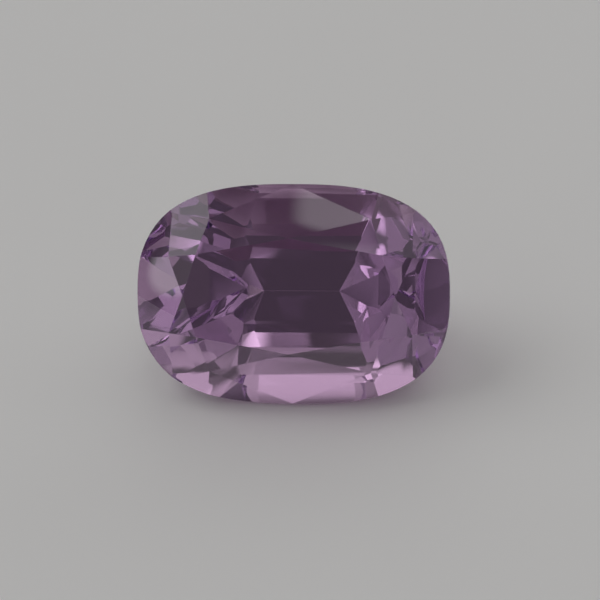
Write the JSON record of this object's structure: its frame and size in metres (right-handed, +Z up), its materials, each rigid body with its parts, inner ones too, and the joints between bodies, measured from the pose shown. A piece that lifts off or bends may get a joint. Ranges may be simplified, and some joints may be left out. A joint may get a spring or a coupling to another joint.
{
  "type": "faceted kunzite gemstone",
  "caption": "Loose clear lilac gemstone, a long cushion cut with a brilliant crown and a stepped pavilion, lying on one side.",
  "frame": {"origin": "middle of the stone's box, on the surface that it lies on", "axes": "+Z up from that surface, +X along the stone's long side, -Y the way its table leans"},
  "size_m": [0.015, 0.009, 0.009],
  "materials": {
    "kunzite": "polished"
  },
  "bodies": {
    "root": {"kunzite": "kunzite"}
  },
  "joints": []
}
